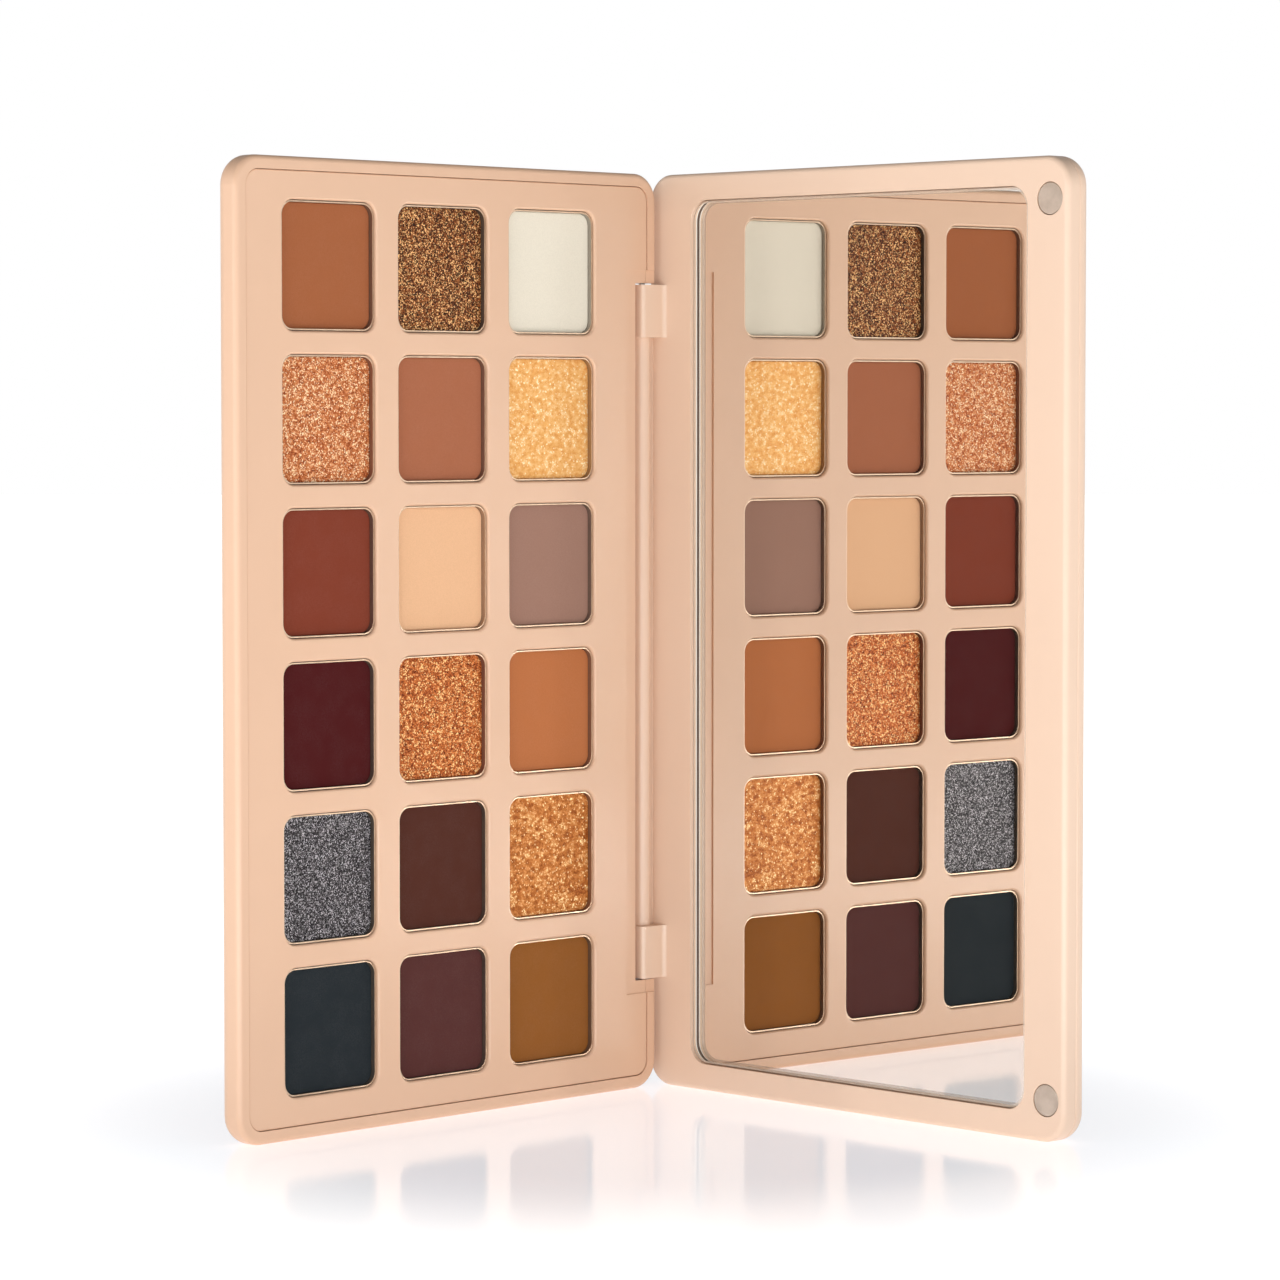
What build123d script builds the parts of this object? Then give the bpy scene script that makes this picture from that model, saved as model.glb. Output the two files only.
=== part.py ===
from build123d import *
import math
import os

os.makedirs("parts", exist_ok=True)

# An eyeshadow palette: two shallow halves joined by a pin hinge along one long edge, standing
# open like a book on its short ends. The base holds a tray of pressed powders in tin pans,
# the lid holds a mirror and the two closing magnets. Millimetres, +Z up, hinge axis upright.
# Each half is drawn as it lies when the palette is shut: x runs from the front edge to the
# back edge (x = 0), y along the hinge, z up from the plane where the halves meet (z = 0).

# overall sizes
LENGTH = 180.0
WIDTH = 109.0
BASE_THICK = 6.0
LID_THICK = 6.9
OPEN_ANGLE = 88.0
SHUT_GAP = 0.2
CORNER_R = 5.5
OUTER_EDGE_R = 2.9
MEETING_EDGE_R = 1.0

# case walls
FLOOR = 1.2
RIM = 2.5
LEDGE = 1.0
SKIN_GAP = 0.1
SEAM_CHAMFER = 0.15

# tray and pans: the openings share out what the margins and gaps leave
ROWS = 6
COLUMNS = 3
END_MARGIN = 7.8
ROW_GAP = 4.25
FRONT_MARGIN = 11.45
BACK_MARGIN = 16.95
COLUMN_GAP = 5.65
OPENING_R = 2.8
TRAY_DROP = 0.2
TRAY_THICK = 1.2
WELL_WALL = 0.8
WELL_FLOOR = 0.55
FLOOR_AIR = 0.2
OPENING_EDGE_R = 0.5
PAN_CLEARANCE = 0.15
PAN_SHEET = 0.25
PAN_DROP = 0.65
PAN_FOOT_R = 0.5
POWDER_DROP = 0.9
POWDER_EDGE_R = 0.2
GLUE_THICK = 0.15
PAN_GLUE_DIA = 9.0

# hinge
AXIS_IN = 1.2
AXIS_DOWN = BASE_THICK / 2
PIN_DIA = 1.2
PIN_LENGTH = 15.0
PIN_RUNNING = 0.04
NOTCH_END = 21.3
NOTCH_DEPTH = 5.5
LUG_LENGTH = 10.3
LUG_END_GAP = 0.3
LUG_DEPTH = 4.4
LUG_UNDERSIDE = 0.3
LUG_CORNER_R = 0.8
LUG_ROOT_R = 0.9
RAIL_R = 1.7
BEAM_BEHIND_NOTCH = 4.0
RELIEF_BEHIND_NOTCH = 2.7
RELIEF_PAST_NOTCH = 2.5
RELIEF_DROP = 0.5

# mirror and closure
MIRROR_BACK_MARGIN = 11.9
MIRROR_FRONT_MARGIN = 9.8
MIRROR_END_MARGIN = 5.4
MIRROR_R = 4.0
MIRROR_THICK = 1.6
MIRROR_DROP = 0.4
MIRROR_CLEARANCE = 0.15
MIRROR_BEVEL = 0.3
MAGNET_DIA = 6.0
MAGNET_THICK = 2.0
MAGNET_DROP = 0.1
MAGNET_FRONT = 4.4
MAGNET_END = 7.8
KEEPER_DIA = 5.0
KEEPER_THICK = 1.5
KEEPER_WALL = 1.5
POCKET_CLEARANCE = 0.05
FRAME_HEIGHT = 3.3
FRAME_FLOOR = 1.0
SPIGOT_CLEARANCE = 0.1

# sizes that follow from the ones above
OPENING_H = (LENGTH - 2 * END_MARGIN - (ROWS - 1) * ROW_GAP) / ROWS
OPENING_W = (WIDTH - FRONT_MARGIN - BACK_MARGIN - (COLUMNS - 1) * COLUMN_GAP) / COLUMNS
NOTCH_LENGTH = LENGTH - 2 * NOTCH_END
BASE_TOP = -SHUT_GAP / 2
BASE_BOTTOM = BASE_TOP - (BASE_THICK - SHUT_GAP / 2)
LID_FACE = SHUT_GAP / 2
LID_TOP = LID_FACE + LID_THICK - SHUT_GAP / 2
TRAY_TOP = BASE_TOP - TRAY_DROP
LEDGE_TOP = TRAY_TOP - TRAY_THICK
CAVITY_FLOOR = BASE_BOTTOM + FLOOR
WELL_BOTTOM = CAVITY_FLOOR + FLOOR_AIR
PAN_SEAT = WELL_BOTTOM + WELL_FLOOR
PAN_FOOT = PAN_SEAT + GLUE_THICK
PAN_TOP = TRAY_TOP - PAN_DROP
POWDER_FOOT = PAN_FOOT + PAN_SHEET
POWDER_TOP = PAN_TOP - POWDER_DROP
RELIEF_FLOOR = BASE_TOP - RELIEF_DROP
SEAM = LID_FACE + FRAME_HEIGHT
MIRROR_FACE = LID_FACE + MIRROR_DROP
MIRROR_BACK = MIRROR_FACE + MIRROR_THICK
FRAME_SEAT = MIRROR_BACK + GLUE_THICK
FRAME_BACK = FRAME_SEAT + FRAME_FLOOR
AXIS_X = -AXIS_IN
AXIS_Z = -AXIS_DOWN
LUG_END = NOTCH_LENGTH / 2 - LUG_END_GAP
MAGNET_X = -WIDTH + MAGNET_FRONT
MAGNET_Y = LENGTH / 2 - MAGNET_END
BIG = 4 * LENGTH


def slab(x0, x1, y0, y1, z0, z1, radius=0.0):
    """A flat plate between the given faces, its four upright corners rounded."""
    if radius > 0:
        outline = RectangleRounded(x1 - x0, y1 - y0, radius)
    else:
        outline = Rectangle(x1 - x0, y1 - y0)
    plate = extrude(outline, z1 - z0)
    return Pos((x0 + x1) / 2, (y0 + y1) / 2, z0) * plate


def inset_slab(inset, z0, z1, back=None):
    """A plate following the case outline, drawn in by the inset."""
    back_inset = inset if back is None else back
    radius = max(CORNER_R - inset, 1.0)
    return slab(-WIDTH + inset, -back_inset, inset - LENGTH / 2, LENGTH / 2 - inset, z0, z1, radius)


def edges_at(shape, height):
    """The edges lying in the level plane at this height."""
    return shape.edges().filter_by_position(Axis.Z, height - 0.001, height + 0.001)


def upright_rod(x, y, z0, z1, diameter):
    return Pos(x, y, (z0 + z1) / 2) * Cylinder(diameter / 2, z1 - z0)


def hinge_rod(y0, y1, diameter):
    """A rod along the hinge axis."""
    rod = Rot(90, 0, 0) * Cylinder(diameter / 2, y1 - y0)
    return Pos(AXIS_X, (y0 + y1) / 2, AXIS_Z) * rod


def prism_along_hinge(sketch, y0, y1):
    """Extrude an x-z profile between two stations along the hinge."""
    plane = Plane(origin=(0, y1, 0), x_dir=(1, 0, 0), z_dir=(0, -1, 0))
    return extrude(plane * sketch, y1 - y0)


# base shell: outer tub with a ledge for the tray, a solid beam for the hinge and two
# corner posts for the steel closing discs
body = inset_slab(0.0, BASE_BOTTOM, BASE_TOP)
body = fillet(edges_at(body, BASE_BOTTOM), OUTER_EDGE_R)
body = fillet(edges_at(body, BASE_TOP), MEETING_EDGE_R)
beam_front = NOTCH_DEPTH + BEAM_BEHIND_NOTCH
cavity = inset_slab(RIM + LEDGE, CAVITY_FLOOR, LEDGE_TOP, back=beam_front)
for side in (-1, 1):
    post_dia = KEEPER_DIA + 2 * KEEPER_WALL
    cavity -= upright_rod(MAGNET_X, side * MAGNET_Y, CAVITY_FLOOR, LEDGE_TOP, post_dia)
base_shell = body - cavity - inset_slab(RIM, LEDGE_TOP, 1.0)
notch = slab(-NOTCH_DEPTH, BIG, -NOTCH_LENGTH / 2, NOTCH_LENGTH / 2, -BIG, BIG)
relief_front = -NOTCH_DEPTH - RELIEF_BEHIND_NOTCH
relief_end = NOTCH_LENGTH / 2 + RELIEF_PAST_NOTCH
relief = slab(relief_front, BIG, -relief_end, relief_end, RELIEF_FLOOR, BIG)
base_shell = base_shell - notch - relief
keeper_foot = LEDGE_TOP - SKIN_GAP - KEEPER_THICK
pin_inner = NOTCH_LENGTH / 2 - PIN_LENGTH / 2
pin_outer = pin_inner + PIN_LENGTH
keepers = []
pins = []
for side in (-1, 1):
    pocket_dia = KEEPER_DIA + 2 * POCKET_CLEARANCE
    base_shell -= upright_rod(MAGNET_X, side * MAGNET_Y, keeper_foot, LEDGE_TOP, pocket_dia)
    ends = sorted((side * (NOTCH_LENGTH / 2 - 1), side * pin_outer))
    base_shell -= hinge_rod(ends[0], ends[1], PIN_DIA)
    keepers.append(upright_rod(MAGNET_X, side * MAGNET_Y, keeper_foot, LEDGE_TOP - SKIN_GAP, KEEPER_DIA))
    ends = sorted((side * pin_inner, side * pin_outer))
    pins.append(hinge_rod(ends[0], ends[1], PIN_DIA))

# tray: a thin deck resting on the ledge, one well below each opening
tray_inset = RIM + SKIN_GAP
tray = inset_slab(tray_inset, LEDGE_TOP, TRAY_TOP)
tray = chamfer(edges_at(tray, TRAY_TOP), SEAM_CHAMFER)
cells = []
for row in range(ROWS):
    for column in range(COLUMNS):
        cell_x = -WIDTH + FRONT_MARGIN + OPENING_W / 2 + column * (OPENING_W + COLUMN_GAP)
        cell_y = ((ROWS - 1) / 2 - row) * (OPENING_H + ROW_GAP)
        cells.append((row + 1, column + 1, cell_x, cell_y))


def cell_slab(x, y, grow, z0, z1):
    """A plate the shape of one opening, grown or shrunk all round."""
    half_w = OPENING_W / 2 + grow
    half_h = OPENING_H / 2 + grow
    return slab(x - half_w, x + half_w, y - half_h, y + half_h, z0, z1, OPENING_R + grow)


for row, column, x, y in cells:
    tray += cell_slab(x, y, WELL_WALL, WELL_BOTTOM, LEDGE_TOP + TRAY_THICK / 2)
for row, column, x, y in cells:
    tray -= cell_slab(x, y, 0.0, PAN_SEAT, 1.0)
opening_edges = []
for edge in edges_at(tray, TRAY_TOP):
    middle = edge.center()
    for row, column, x, y in cells:
        if abs(middle.X - x) < OPENING_W / 2 + 0.1 and abs(middle.Y - y) < OPENING_H / 2 + 0.1:
            opening_edges.append(edge)
            break
tray = fillet(opening_edges, OPENING_EDGE_R)
tray = tray - notch - relief

# one pan, its powder and its spot of glue, set out once for every opening
foot_grow = -PAN_CLEARANCE
pan_inside = cell_slab(0, 0, foot_grow - PAN_SHEET, POWDER_FOOT, PAN_TOP + 1)
pan_inside = fillet(edges_at(pan_inside, POWDER_FOOT), PAN_FOOT_R - PAN_SHEET)
pan_block = cell_slab(0, 0, foot_grow, PAN_FOOT, PAN_TOP)
pan_block = fillet(edges_at(pan_block, PAN_FOOT), PAN_FOOT_R)
pan = pan_block - pan_inside
powder = pan_inside - slab(-BIG, BIG, -BIG, BIG, POWDER_TOP, BIG)
powder = fillet(edges_at(powder, POWDER_TOP), POWDER_EDGE_R)
glue = upright_rod(0, 0, PAN_SEAT, PAN_FOOT, PAN_GLUE_DIA)

# lid frame: inner face of the lid, with the mirror seat, the magnet pockets and the hinge rail
frame = inset_slab(0.0, LID_FACE, SEAM)
frame = fillet(edges_at(frame, LID_FACE), MEETING_EDGE_R)
frame = chamfer(edges_at(frame, SEAM), SEAM_CHAMFER)
frame += inset_slab(RIM, SEAM, FRAME_BACK)


def mirror_slab(grow, z0, z1):
    """A plate the shape of the mirror, grown or shrunk all round."""
    x0 = -WIDTH + MIRROR_FRONT_MARGIN - grow
    x1 = -MIRROR_BACK_MARGIN + grow
    half = LENGTH / 2 - MIRROR_END_MARGIN + grow
    return slab(x0, x1, -half, half, z0, z1, MIRROR_R + grow)


frame -= mirror_slab(MIRROR_CLEARANCE, -1.0, FRAME_SEAT)
for side in (-1, 1):
    pocket_dia = MAGNET_DIA + 2 * POCKET_CLEARANCE
    pocket_foot = LID_FACE + MAGNET_DROP + MAGNET_THICK
    frame -= upright_rod(MAGNET_X, side * MAGNET_Y, -1.0, pocket_foot, pocket_dia)

# hinge rail of the lid: a slim barrel along the notch, ending in a square lug at each end
rail_foot = AXIS_Z - RAIL_R
lug_foot = BASE_BOTTOM + LUG_UNDERSIDE
root_level = LID_FACE + MEETING_EDGE_R
barrel = Pos(AXIS_X, AXIS_Z) * Circle(RAIL_R)
web = Pos(AXIS_X / 2, (AXIS_Z + root_level) / 2) * Rectangle(AXIS_IN, root_level - AXIS_Z)
behind = Pos(BIG / 2, 0) * Rectangle(BIG, BIG)
rail = prism_along_hinge(barrel + web - behind, -LUG_END, LUG_END)
lug_outline = Pos(-LUG_DEPTH / 2, (lug_foot + root_level) / 2) * Rectangle(LUG_DEPTH, root_level - lug_foot)
lug_outline = fillet(lug_outline.vertices().group_by(Axis.Y)[0], LUG_CORNER_R)
root = Pos(-LUG_DEPTH - LUG_ROOT_R / 2, LID_FACE - LUG_ROOT_R / 2) * Rectangle(LUG_ROOT_R, LUG_ROOT_R)
root -= Pos(-LUG_DEPTH - LUG_ROOT_R, LID_FACE - LUG_ROOT_R) * Circle(LUG_ROOT_R)
for side in (-1, 1):
    ends = sorted((side * LUG_END, side * (LUG_END - LUG_LENGTH)))
    rail += prism_along_hinge(lug_outline, ends[0], ends[1])
    rail += prism_along_hinge(root, ends[0], ends[1])
lid_frame = frame + rail
for side in (-1, 1):
    ends = sorted((side * (LUG_END + 1), side * (pin_inner - SKIN_GAP)))
    lid_frame -= hinge_rod(ends[0], ends[1], PIN_DIA + 2 * PIN_RUNNING)

# lid cover: the rounded outer skin glued round the frame
cover = inset_slab(0.0, SEAM, LID_TOP)
cover = fillet(edges_at(cover, LID_TOP), OUTER_EDGE_R)
cover = chamfer(edges_at(cover, SEAM), SEAM_CHAMFER)
lid_cover = cover - inset_slab(RIM - SPIGOT_CLEARANCE, SEAM, LID_TOP - FLOOR)

# mirror glass with its glue, and the closing magnets
mirror = mirror_slab(0.0, MIRROR_FACE, MIRROR_BACK)
mirror = chamfer(edges_at(mirror, MIRROR_FACE), MIRROR_BEVEL)
mirror_glue = mirror_slab(-MIRROR_R, MIRROR_BACK, FRAME_SEAT)
magnets = []
for side in (-1, 1):
    magnet = upright_rod(MAGNET_X, side * MAGNET_Y, LID_FACE + MAGNET_DROP, pocket_foot, MAGNET_DIA)
    magnets.append(chamfer(edges_at(magnet, LID_FACE + MAGNET_DROP), SEAM_CHAMFER))

# stand both halves up: the hinge axis becomes vertical, the halves open towards -Y with the
# base on the -X side, and the origin drops to the floor below the middle of the bounding box
lean = math.radians((180 - OPEN_ANGLE) / 2)
stand = Plane(
    origin=(0, 0, 0),
    x_dir=(math.cos(lean), math.sin(lean), 0),
    z_dir=(math.sin(lean), -math.cos(lean), 0),
).location
swing = Pos(AXIS_X, 0, AXIS_Z) * Rot(0, OPEN_ANGLE, 0) * Pos(-AXIS_X, 0, -AXIS_Z)

parts = {"base_shell": base_shell, "base_tray": tray}
for row, column, x, y in cells:
    parts[f"pan_r{row}c{column}"] = Pos(x, y, 0) * pan
    parts[f"powder_r{row}c{column}"] = Pos(x, y, 0) * powder
parts["pan_glue"] = Compound([Pos(x, y, 0) * glue for row, column, x, y in cells])
parts["keeper_lower"], parts["keeper_upper"] = keepers
parts["hinge_pin_lower"], parts["hinge_pin_upper"] = pins
parts = {name: stand * shape for name, shape in parts.items()}
lid_parts = {"lid_frame": lid_frame, "lid_cover": lid_cover, "mirror": mirror, "mirror_glue": mirror_glue}
lid_parts["lid_magnet_lower"], lid_parts["lid_magnet_upper"] = magnets
for name, shape in lid_parts.items():
    parts[name] = stand * swing * shape

box = Compound([parts[name] for name in ("base_shell", "lid_frame", "lid_cover")]).bounding_box()
drop = Pos(-(box.min.X + box.max.X) / 2, -(box.min.Y + box.max.Y) / 2, -box.min.Z)
for name, shape in parts.items():
    export_step(drop * shape, f"parts/{name}.step")

axis = drop * stand * Pos(AXIS_X, 0, AXIS_Z)
print("hinge axis at", axis.position.X, axis.position.Y, "box", box.size.X, box.size.Y, box.size.Z)
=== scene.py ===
from math import radians

import bmesh
import bpy
from mathutils import Matrix, Vector


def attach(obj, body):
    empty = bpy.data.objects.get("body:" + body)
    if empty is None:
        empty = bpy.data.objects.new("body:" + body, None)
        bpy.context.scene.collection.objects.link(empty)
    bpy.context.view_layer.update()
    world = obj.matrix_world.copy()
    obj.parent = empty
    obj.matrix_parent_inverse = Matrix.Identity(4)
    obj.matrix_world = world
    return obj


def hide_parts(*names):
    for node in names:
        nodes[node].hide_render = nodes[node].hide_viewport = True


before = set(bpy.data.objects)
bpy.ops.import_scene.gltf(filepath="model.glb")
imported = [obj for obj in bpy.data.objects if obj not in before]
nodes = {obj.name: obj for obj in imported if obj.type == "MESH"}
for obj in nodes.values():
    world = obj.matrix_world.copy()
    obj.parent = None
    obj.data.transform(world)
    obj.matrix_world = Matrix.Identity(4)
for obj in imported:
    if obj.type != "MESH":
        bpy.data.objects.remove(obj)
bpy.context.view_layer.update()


# ---- Base shell -------------------------------------------------------------------
# The outer half that holds the powders: a shallow dish of peach ABS, moulded with a
# satin skin and softly rounded edges.

class Wire:
    """A socket in a node tree. Arithmetic on it adds Math nodes to the tree."""

    def __init__(self, wiring, socket):
        self.wiring = wiring
        self.socket = socket

    def math(self, operation, *values):
        return self.wiring.add("Math", {"operation": operation}, dict(enumerate(values)))

    def __add__(self, other):
        return self.math("ADD", self, other)

    def __radd__(self, other):
        return self.math("ADD", other, self)

    def __rsub__(self, other):
        return self.math("SUBTRACT", other, self)

    def __mul__(self, other):
        return self.math("MULTIPLY", self, other)

    def __rmul__(self, other):
        return self.math("MULTIPLY", other, self)

    def between(self, low, high):
        """0 at low and under, 1 at high and over, smooth in the middle."""
        settings = {"interpolation_type": "SMOOTHSTEP"}
        return self.wiring.add("MapRange", settings, {"Value": self, "From Min": low, "From Max": high})

    def mix(self, first, second):
        """The first colour where this is 0 and the second where it is 1."""
        settings = {"data_type": "RGBA", "blend_type": "MIX"}
        return self.wiring.add("Mix", settings, {0: self, 6: first, 7: second}, 2)


class Wiring:
    """A node tree, and the way to add a node to it."""

    def __init__(self, tree):
        self.tree = tree

    def add(self, kind, settings, sockets, output=0):
        """A node of a kind: its settings are made first, then its sockets."""
        node = self.tree.nodes.new("ShaderNode" + kind)
        for setting, value in settings.items():
            if setting == "stops":
                ramp = node.color_ramp
                for place, colour in value[:-2]:
                    ramp.elements.new(place)
                for element, (place, colour) in zip(ramp.elements, value):
                    element.position = place
                    element.color = (*colour, 1)
            else:
                setattr(node, setting, value)
        for socket, value in sockets.items():
            self.feed(node.inputs[socket], value)
        return Wire(self, node.outputs[output])

    def feed(self, socket, value):
        """Links a wire to a socket, or sets the socket to a plain value."""
        if isinstance(value, Wire):
            self.tree.links.new(value.socket, socket)
        elif socket.type == "RGBA" and len(value) == 3:
            socket.default_value = (*value, 1)
        else:
            socket.default_value = value


class Finish(Wiring):
    """A material whose pattern is written as expressions on its nodes' sockets."""

    def __init__(self, name, **shader):
        self.material = bpy.data.materials.new(name)
        self.material.use_nodes = True
        super().__init__(self.material.node_tree)
        self.tree.nodes.clear()
        self.shader = self.tree.nodes.new("ShaderNodeBsdfPrincipled")
        for socket, value in shader.items():
            self.feed(self.input(socket), value)
        surface = self.tree.nodes.new("ShaderNodeOutputMaterial")
        self.tree.links.new(self.shader.outputs[0], surface.inputs["Surface"])

    def input(self, socket):
        """The shader's socket of a name such as base_color or ior."""
        title = socket.replace("_", " ").title()
        return self.shader.inputs[title.replace("Ior", "IOR")]

    def place(self, turn=(0, 0, 0), stretch=(1, 1, 1)):
        """A point's place on the piece in metres, turned and stretched as the pattern needs."""
        here = self.add("TexCoord", {}, {}, "Object")
        return self.add("Mapping", {}, {"Vector": here, "Rotation": turn, "Scale": stretch})

    def noise(self, grain, detail=2.0, where=None, seed=0.0):
        """Smooth noise, 0 to 1, whose lumps are about grain metres across."""
        spot = self.place() if where is None else where
        sockets = {"Vector": spot, "W": seed, "Scale": 1 / grain, "Detail": detail}
        return self.add("TexNoise", {"noise_dimensions": "4D"}, sockets)

    def paint(self, **shader):
        """Feeds the shader's sockets with what changes over the surface."""
        for socket, value in shader.items():
            self.feed(self.input(socket), value)

    def relief(self, height, depth, under=None):
        """Bumps the surface by height, which runs from 0 to 1, times depth in metres."""
        sockets = {"Height": height, "Distance": depth, "Strength": 1.0}
        if under is not None:
            sockets["Normal"] = under
        return self.add("Bump", {}, sockets)


def tone(red, green, blue):
    """A paint-card colour, 0 to 255, as the light it reflects."""
    parts = (value / 255 for value in (red, green, blue))
    return tuple(v / 12.92 if v < 0.04045 else ((v + 0.055) / 1.055) ** 2.4 for v in parts)


def dress(finish, *names):
    """Gives a finish to CAD nodes, in every slot of each."""
    for name in names:
        slots = nodes[name].material_slots
        for slot in slots:
            slot.material = finish.material
        if not slots:
            nodes[name].data.materials.append(finish.material)


PEACH = [(223, 183, 153), (225, 185, 155), (227, 187, 157)]


def satin_plastic(name, seed, shades=PEACH):
    """ABS: a fine spark-eroded grain, and a faint drift in tone and gloss."""
    deep, even, pale = (tone(*shade) for shade in shades)
    plastic = Finish(name, roughness=0.28, specular_ior_level=0.5, ior=1.5)
    drift = plastic.noise(0.035, 3.0, seed=seed)
    cloud = plastic.noise(0.006, 4.0, seed=seed + 3)
    grain = plastic.noise(0.00028, 3.0, seed=seed)
    ripple = plastic.noise(0.012, 2.0, seed=seed + 7)
    colour = drift.between(0.3, 0.7).mix(deep, pale)
    plastic.paint(
        base_color=cloud.between(0.25, 0.75).mix(colour, even),
        roughness=0.27 + 0.03 * drift + 0.02 * cloud,
        normal=plastic.relief(grain, 0.000006, plastic.relief(ripple, 0.00001)),
    )
    return plastic


dress(satin_plastic("shell_plastic", 1.0), "base_shell")


# ---- Base tray --------------------------------------------------------------------
# The insert that fills the shell: the same ABS in one moulding, a thin deck with
# eighteen wells under it. It rests on the ledge inside the shell's rim.

dress(satin_plastic("tray_plastic", 5.0), "base_tray")


# ---- Pan glue ---------------------------------------------------------------------
# A dab of clear hot-melt spread thin under each pan, cloudy white once it has set.

def set_glue(name, seed):
    glue = Finish(name, roughness=0.5, ior=1.48)
    cloud = glue.noise(0.003, 4.0, seed=seed)
    glue.paint(
        base_color=cloud.between(0.3, 0.7).mix(tone(214, 208, 192), tone(232, 228, 216)),
        roughness=0.4 + 0.25 * cloud,
        normal=glue.relief(cloud, 0.0001),
    )
    return glue


dress(set_glue("pan_glue_finish", 2.0), "pan_glue")


# ---- Pans -------------------------------------------------------------------------
# Eighteen little drawn tinplate trays, stamped from bright sheet. The drawing leaves
# fine lines round the walls, and the cut rim catches the light.

BASE_TURN = Matrix.Rotation(radians(46), 3, "Z") @ Matrix.Rotation(radians(90), 3, "X")
UNTURN = BASE_TURN.inverted().to_euler()
pan_rim = max((BASE_TURN.inverted() @ vertex.co).z for vertex in nodes["pan_r1c1"].data.vertices)


def tin_pan(place, dust_and_shade_colour):
    """The pan at a place; under the rim its wall is dusted with its powder and darkened with painted
    shade.
    """
    tin = Finish("tinplate_" + place, roughness=0.25)
    drawn = tin.noise(0.0004, 3.0, tin.place(stretch=(1, 1, 0.08)), seed=4.0)
    spangle = tin.noise(0.002, 3.0, seed=9.0)
    depth = pan_rim - tin.add("SeparateXYZ", {}, {0: tin.place(turn=UNTURN)}, 2)
    # Painted shade: below the rim the wall goes to a dim copy of its powder's colour, partly the powder
    # dusting it, partly painted shade in the recess.
    dust_and_shade = depth.between(0.00002, 0.00018) * (0.75 + 0.25 * spangle)
    # The tin's colour is warmed to peach-brown and darker than bright tin: a painted reflection of the
    # peach casing round it.
    bright = spangle.between(0.3, 0.7).mix(tone(190, 164, 140), tone(208, 184, 160))
    tin.paint(
        base_color=dust_and_shade.mix(bright, tuple(0.36 * v for v in tone(*dust_and_shade_colour))),
        metallic=1.0 - 0.8 * dust_and_shade,
        roughness=0.3 + 0.1 * drawn + 0.05 * spangle + 0.4 * dust_and_shade,
        normal=tin.relief(drawn, 0.000005),
    )
    dress(tin, "pan_" + place)


# ---- Matte powders ----------------------------------------------------------------
# Talc, mica and pigment pressed dry into the pan: dead flat colour, with a chalky
# grain, specks of unmilled pigment and the faint cushion left by the press cloth.

def matte_powder(place, colour, speck=0.05):
    powder = Finish("matte_" + place, roughness=0.9, specular_ior_level=0.12)
    seed = 11.0 + len(bpy.data.materials)
    base = tone(*colour)
    dark = tuple(v * (1 - 1.2 * speck) for v in base)
    pale = tuple(v + (1 - v) * 0.2 * speck for v in base)
    mottle = powder.noise(0.004, 4.0, seed=seed)
    chalk = powder.noise(0.00022, 2.0, seed=seed + 2)
    press = powder.noise(0.0009, 2.0, seed=seed + 5)
    specks = powder.noise(0.00012, 1.0, seed=seed + 8).between(0.66, 0.76)
    tinted = mottle.between(0.3, 0.7).mix(base, pale)
    grained = chalk.between(0.25, 0.75).mix(dark, tinted)
    powder.paint(
        base_color=(0.4 * specks).mix(grained, tuple(v * 0.75 for v in base)),
        roughness=0.82 + 0.15 * mottle,
        normal=powder.relief(chalk, 0.000015, powder.relief(press, 0.00002)),
    )
    dress(powder, "powder_" + place)
    tin_pan(place, colour)


MATTES = {
    "r1c1": (165, 98, 62),
    "r1c3": (238, 230, 212),
    "r2c2": (172, 106, 76),
    "r3c1": (129, 60, 42),
    "r3c2": (237, 188, 147),
    "r3c3": (162, 124, 108),
    "r4c1": (76, 22, 23),
    "r4c3": (190, 116, 71),
    "r5c2": (84, 46, 36),
    "r6c1": (38, 44, 48),
    "r6c2": (88, 50, 47),
    "r6c3": (148, 92, 42),
}
for place, colour in MATTES.items():
    matte_powder(place, colour)


# ---- Shimmer, foil and glitter powders --------------------------------------------
# Coated mica and flake bound with a little oil and pressed wet. Each flake lies at
# its own angle, so some flash and some go dark; foils smear into soft bright drifts.

def flake_powder(place, flake, shades, drift, drift_size, flashing, relief):
    """Shades run from the flakes turned away, through two middles, to full flash."""
    powder = Finish("flake_" + place, roughness=0.4, specular_ior_level=0.25, metallic=0.3)
    seed = 23.0 + len(bpy.data.materials)
    flat = powder.place(turn=UNTURN)
    smear = powder.place(turn=UNTURN, stretch=(1.0, 0.5, 1.0))
    cells = {"Vector": flat, "W": seed, "Scale": 1 / flake, "Randomness": 1.0}
    chips = powder.add("TexVoronoi", {"voronoi_dimensions": "4D", "feature": "F1"}, cells, "Color")
    tilt = powder.add("SeparateColor", {}, {"Color": chips}, 0)
    spark = powder.add("SeparateColor", {}, {"Color": chips}, 1)
    drifts = powder.noise(drift_size, 3.0, smear, seed=seed)
    mixed = (1 - drift) * tilt + drift * drifts.between(0.3, 0.7)
    stops = list(zip((0.05, 0.4, 0.75, 1.0), (tone(*shade) for shade in shades)))
    colour = powder.add("ValToRGB", {"stops": stops}, {"Fac": mixed})
    flashes = (spark + 0.3 * drifts).between(1.08 - flashing, 1.16 - flashing)
    powder.paint(
        base_color=flashes.mix(colour, tone(*shades[3])),
        roughness=0.5 - 0.2 * flashes,
        normal=powder.relief(tilt, relief, powder.relief(drifts, 0.00008)),
    )
    dress(powder, "powder_" + place)
    tin_pan(place, shades[1])


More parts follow.
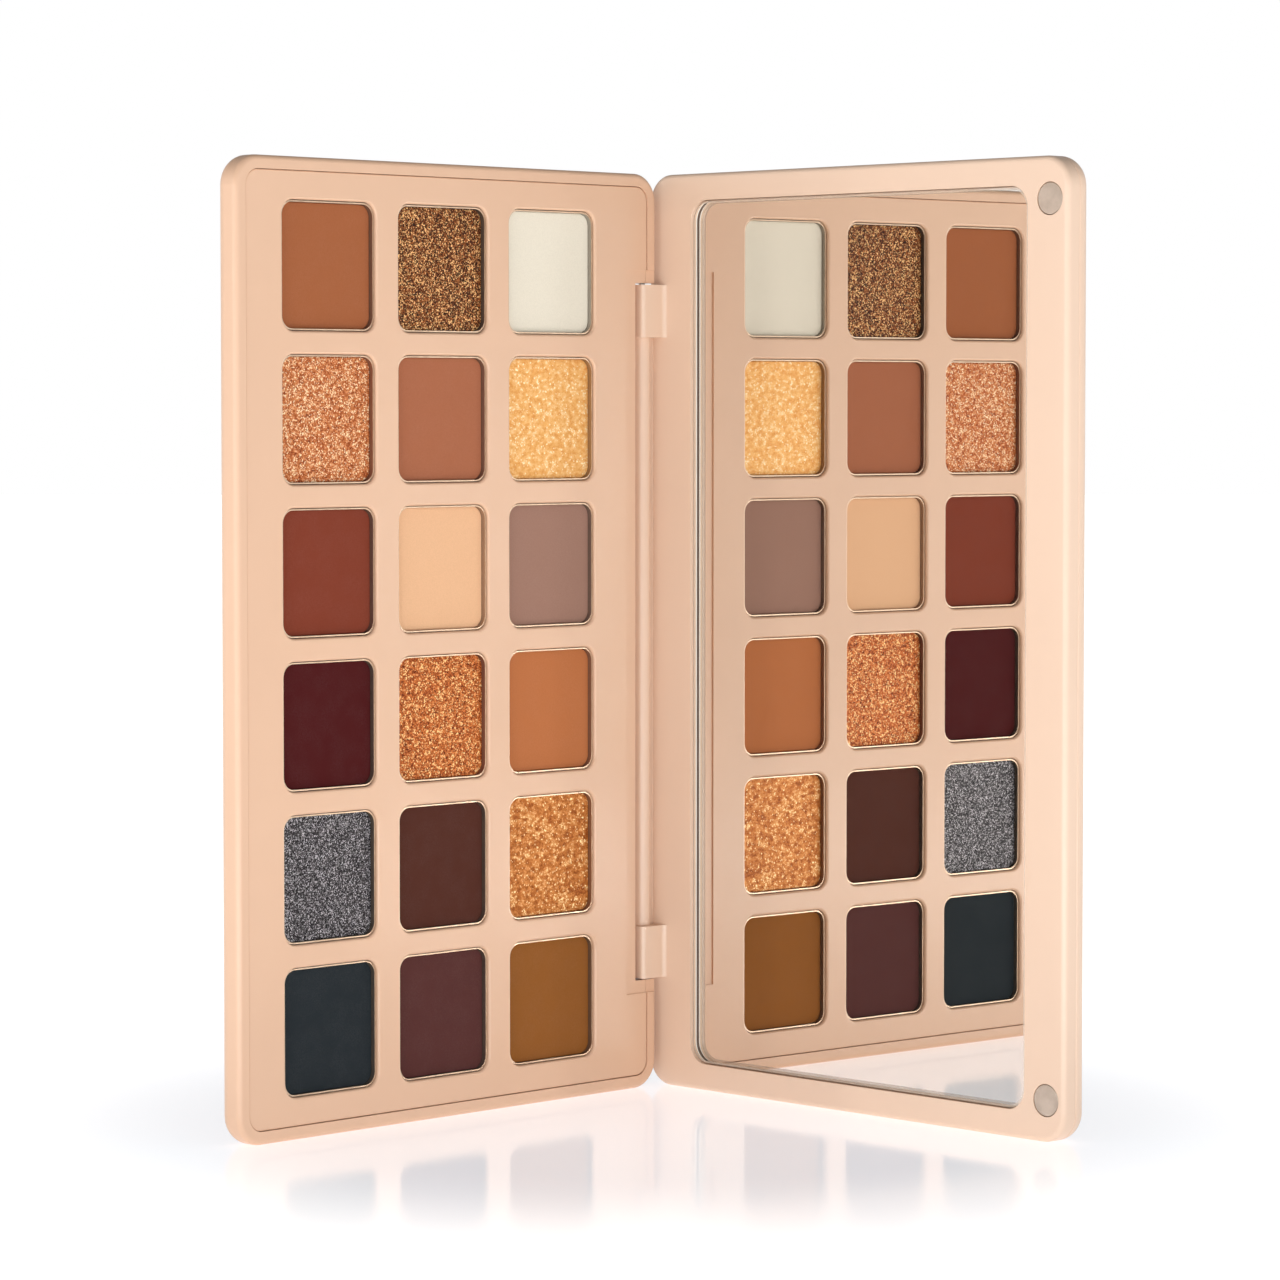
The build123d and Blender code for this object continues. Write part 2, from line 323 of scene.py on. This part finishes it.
flake_powder(
    "r1c2", 0.00022, [(10, 3, 1), (76, 32, 9), (162, 88, 38), (255, 206, 138)],
    drift=0.15, drift_size=0.0009, flashing=0.06, relief=0.00006,
)
flake_powder(
    "r2c1", 0.00022, [(120, 44, 12), (190, 98, 48), (224, 148, 92), (255, 230, 188)],
    drift=0.35, drift_size=0.0008, flashing=0.09, relief=0.00006,
)
flake_powder(
    "r2c3", 0.00026, [(230, 156, 80), (241, 180, 104), (248, 196, 128), (255, 232, 188)],
    drift=0.65, drift_size=0.0009, flashing=0.03, relief=0.00002,
)
flake_powder(
    "r4c2", 0.00022, [(82, 24, 4), (172, 80, 28), (224, 130, 64), (255, 218, 150)],
    drift=0.3, drift_size=0.0007, flashing=0.06, relief=0.00007,
)
flake_powder(
    "r5c1", 0.00018, [(6, 4, 8), (38, 35, 38), (90, 86, 88), (204, 200, 204)],
    drift=0.05, drift_size=0.0009, flashing=0.03, relief=0.00004,
)
flake_powder(
    "r5c3", 0.00026, [(146, 72, 22), (194, 114, 50), (222, 148, 80), (252, 216, 156)],
    drift=0.65, drift_size=0.0009, flashing=0.03, relief=0.00004,
)


# ---- Keepers ----------------------------------------------------------------------
# Two small discs of bright steel, which the magnets in the lid pull on. They lie in
# pockets in the shell's posts, under the tray's front corners, where nobody sees them.

steel = Finish("bright_steel", metallic=1.0, roughness=0.3)
turned = steel.noise(0.0003, 3.0, steel.place(stretch=(0.2, 1, 1)), seed=6.0)
bloom = steel.noise(0.002, 3.0, seed=8.0)
steel.paint(
    base_color=bloom.between(0.3, 0.7).mix(tone(176, 176, 174), tone(202, 202, 200)),
    roughness=0.25 + 0.2 * turned,
    normal=steel.relief(turned, 0.00001),
)
dress(steel, "keeper_lower", "keeper_upper")


# ---- Hinge pins -------------------------------------------------------------------
# Two short lengths of drawn steel wire, pressed into the shell at the ends of its
# notch. The lid's lugs turn on them.

dress(steel, "hinge_pin_lower", "hinge_pin_upper")


# ---- Lid frame --------------------------------------------------------------------
# The inner half of the lid: a flat ABS frame round the mirror, with a slim barrel and
# two lugs at its back edge, and a pocket for a magnet in each front corner.

# The lid's frame and cover are the base's ABS in a lighter copy of its peach: painted light, so the lid
# reads brighter than the base.
LIT_LID_PEACH = [(231, 201, 177), (233, 203, 179), (235, 205, 181)]
dress(satin_plastic("frame_plastic", 9.0, LIT_LID_PEACH), "lid_frame")


# ---- Lid magnets ------------------------------------------------------------------
# Sintered discs, nickel plated to a warm grey, set into the frame's pockets.

nickel = Finish("nickel_plate", metallic=1.0, roughness=0.35)
lapped = nickel.noise(0.00035, 3.0, seed=3.0)
bloom = nickel.noise(0.0025, 3.0, seed=5.0)
nickel.paint(
    base_color=bloom.between(0.3, 0.7).mix(tone(178, 163, 149), tone(195, 180, 166)),
    roughness=0.3 + 0.12 * lapped,
    normal=nickel.relief(lapped, 0.00001),
)
dress(nickel, "lid_magnet_lower", "lid_magnet_upper")


# ---- Mirror -----------------------------------------------------------------------
# A sheet of float glass with round corners and a ground bevel round its face. Its
# back is silvered and glued flat into the frame's recess.

dress(set_glue("mirror_glue_finish", 6.0), "mirror_glue")

MIRROR_CORNER = 0.004
MIRROR_BEVEL = 0.0005
SILVER = 0.00003
LID_TURN = Matrix.Rotation(radians(134), 4, "Z") @ Matrix.Rotation(radians(90), 4, "X")
flat = [LID_TURN.inverted() @ vertex.co for vertex in nodes["mirror"].data.vertices]
low = Vector([min(point[i] for point in flat) for i in range(3)])
high = Vector([max(point[i] for point in flat) for i in range(3)])
mirror_wide, mirror_long, mirror_thick = high - low
mirror_place = LID_TURN @ Matrix.Translation((low + high) / 2)


def mirror_plate(bottom, top, inset):
    """A plate with the mirror's rounded outline, lying flat, between two heights."""
    plate = bmesh.new()
    bmesh.ops.create_cube(plate, size=1.0)
    span = (mirror_wide - 2 * inset, mirror_long - 2 * inset, top - bottom)
    bmesh.ops.scale(plate, vec=span, verts=plate.verts)
    bmesh.ops.translate(plate, vec=(0, 0, (top + bottom) / 2), verts=plate.verts)
    upright = [e for e in plate.edges if abs(e.verts[0].co.z - e.verts[1].co.z) > 1e-6]
    bmesh.ops.bevel(
        plate, geom=upright, offset=MIRROR_CORNER - inset, segments=10,
        affect="EDGES", profile=0.5, material=-1,
    )
    return plate


def stand_mirror(name, plate, *finishes):
    """Stands a flat plate up in its place in the lid."""
    bmesh.ops.transform(plate, matrix=mirror_place, verts=plate.verts)
    mesh = bpy.data.meshes.new(name)
    plate.to_mesh(mesh)
    plate.free()
    piece = bpy.data.objects.new(name, mesh)
    bpy.context.scene.collection.objects.link(piece)
    for finish in finishes:
        mesh.materials.append(finish.material)
    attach(piece, "lid")
    return piece


silver = Finish("silvering", metallic=1.0, roughness=0.0)
haze = silver.noise(0.02, 3.0, seed=2.0)
silver.paint(
    base_color=haze.mix(tone(243, 239, 234), tone(246, 243, 239)),
    roughness=0.006 + 0.006 * haze,
)
clear = Finish("float_glass", roughness=0.02, ior=1.5, alpha=0.015)
smear = clear.noise(0.03, 3.0, seed=7.0)
clear.paint(
    base_color=smear.mix(tone(40, 52, 48), tone(52, 62, 58)),
    roughness=0.015 + 0.02 * smear,
)
# The bevel is frosted, and its frost is tinted warm peach: a painted reflection of the frame round the
# mirror.
ground = Finish("ground_bevel", roughness=0.25, ior=1.5, alpha=0.5)
frost = ground.noise(0.0003, 2.0, seed=12.0)
ground.paint(
    base_color=frost.mix(tone(206, 190, 172), tone(234, 220, 204)),
    roughness=0.25 + 0.2 * frost,
    normal=ground.relief(frost, 0.00001),
)

# The ground edge is painted by depth from the silvered back: a dark line of painted shadow, then a
# bright painted glint, and peach over the rest, a painted reflection of the frame.
edge = Finish("ground_edge_painted_light", roughness=0.5, ior=1.5)
scratch = edge.noise(0.0004, 3.0, seed=14.0)
unstand = LID_TURN.to_3x3().inverted().to_euler()
depth = high.z - edge.add("SeparateXYZ", {}, {0: edge.place(turn=unstand)}, 2)
through = scratch.mix(tone(222, 190, 162), tone(236, 206, 180))
glint = depth.between(0.0007, 0.0006).mix(through, tone(250, 240, 228))
edge.paint(
    base_color=depth.between(0.0004, 0.0003).mix(glint, tone(96, 74, 60)),
    roughness=0.45 + 0.2 * scratch,
    normal=edge.relief(scratch, 0.00001),
)

half = mirror_thick / 2
plate = mirror_plate(half - SILVER, half - SILVER / 2, SILVER)
stand_mirror("mirror_silvering", plate, silver)

plate = mirror_plate(-half, half - 2 * SILVER, 0)
rim = [e for e in plate.edges if all(vert.co.z < 1e-6 - half for vert in e.verts)]
bmesh.ops.bevel(
    plate, geom=rim, offset=MIRROR_BEVEL, segments=2,
    affect="EDGES", profile=0.5, material=-1,
)
plate.normal_update()
CLEAR, GROUND, EDGE = range(3)
for face in plate.faces:
    upright = abs(face.normal.z) < 0.05
    sloping = -0.99 < face.normal.z < -0.05
    face.material_index = EDGE if upright else GROUND if sloping else CLEAR
glass = stand_mirror("mirror_glass", plate, clear, ground, edge)
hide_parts("mirror")


# ---- Lid cover --------------------------------------------------------------------
# The outer half of the lid: a thin ABS dish glued over the back of the frame, with a
# fine seam that runs all the way round the edge.

# The cover wears the lid's lighter copy of the base's peach: painted light.
dress(satin_plastic("cover_plastic", 13.0, LIT_LID_PEACH), "lid_cover")


# ---- Table, light and camera ------------------------------------------------------
# The palette stands on end, half open, on a glossy white table in a white room that
# is dimmer overhead and behind, with soft lamps low in front and at both sides.

TABLE_WIDE = 12.0
sheet = bmesh.new()
bmesh.ops.create_grid(sheet, x_segments=1, y_segments=1, size=TABLE_WIDE / 2)
mesh = bpy.data.meshes.new("table")
sheet.to_mesh(mesh)
sheet.free()
table = bpy.data.objects.new("table", mesh)
bpy.context.scene.collection.objects.link(table)

# The table glows with painted light. Near its middle it is painted dimmer and bluer, and glossier,
# fading out between 0.07 and 0.18 m: a painted shadow round the palette.
gloss = Finish("white_table_painted_glow", roughness=0.1, ior=1.45, emission_strength=1.0)
spot = gloss.add("TexCoord", {}, {}, "Object")
radius = gloss.add("VectorMath", {"operation": "LENGTH"}, {0: spot}, "Value")
away = radius.between(0.07, 0.18)
gloss.paint(
    base_color=away.mix((0.88, 0.89, 0.92), (0.95, 0.95, 0.95)),
    roughness=0.08 + 0.3 * away,
    emission_color=away.mix((0.45, 0.47, 0.5), (0.9, 0.9, 0.9)),
)
mesh.materials.append(gloss.material)

room = bpy.data.worlds.new("white_room")
room.use_nodes = True
walls = Wiring(room.node_tree)
looking = walls.add("TexCoord", {}, {}, "Generated")
upward = walls.add("SeparateXYZ", {}, {0: looking}, 2)
behind = walls.add("SeparateXYZ", {}, {0: looking}, 1)
seen = walls.add("LightPath", {}, {}, "Is Camera Ray")
overhead = 1 - 0.8 * upward.between(0.0, 0.7)
light = overhead * (1 - 0.35 * behind.between(0.0, 0.5))
backdrop = room.node_tree.nodes["Background"].inputs
backdrop["Color"].default_value = (1, 1, 1, 1)
walls.feed(backdrop["Strength"], light.math("MAXIMUM", light, seen))
bpy.context.scene.world = room


def softbox(name, place, aim, size, power):
    """A rectangular lamp that faces a point. Its size is in metres, its power in watts."""
    lamp = bpy.data.lights.new(name, "AREA")
    lamp.shape = "RECTANGLE"
    lamp.size, lamp.size_y = size
    lamp.energy = power
    lamp_object = bpy.data.objects.new(name, lamp)
    lamp_object.location = place
    facing = (Vector(aim) - Vector(place)).to_track_quat("-Z", "Y")
    lamp_object.rotation_euler = facing.to_euler()
    bpy.context.scene.collection.objects.link(lamp_object)


softbox("lamp_front", (-0.2, -1.3, 0.02), (0, 0, 0.0), (1.0, 0.3), 2.9)
softbox("lamp_lid", (-0.8, -0.85, 0.04), (0, 0, 0.02), (0.6, 0.4), 1.65)
softbox("lamp_low", (0, -0.3, 0.01), (0, 0, 0.03), (0.5, 0.02), 0.28)
softbox("lamp_right", (1.0, -0.6, 0.12), (0, 0, 0.04), (0.05, 0.6), 1.4)
softbox("lamp_left", (-1.0, -0.4, 0.12), (0, 0, 0.04), (0.05, 0.6), 1.5)

lens = bpy.data.cameras.new("camera")
lens.lens = 129.5
lens.sensor_width = 36
lens.clip_start = 0.05
camera = bpy.data.objects.new("camera", lens)
camera.location = (-0.0001, -0.8726, 0.1349)
camera.rotation_euler = (radians(87.073), 0, radians(0.172))
bpy.context.scene.collection.objects.link(camera)
bpy.context.scene.camera = camera
bpy.context.scene.view_settings.view_transform = "Standard"
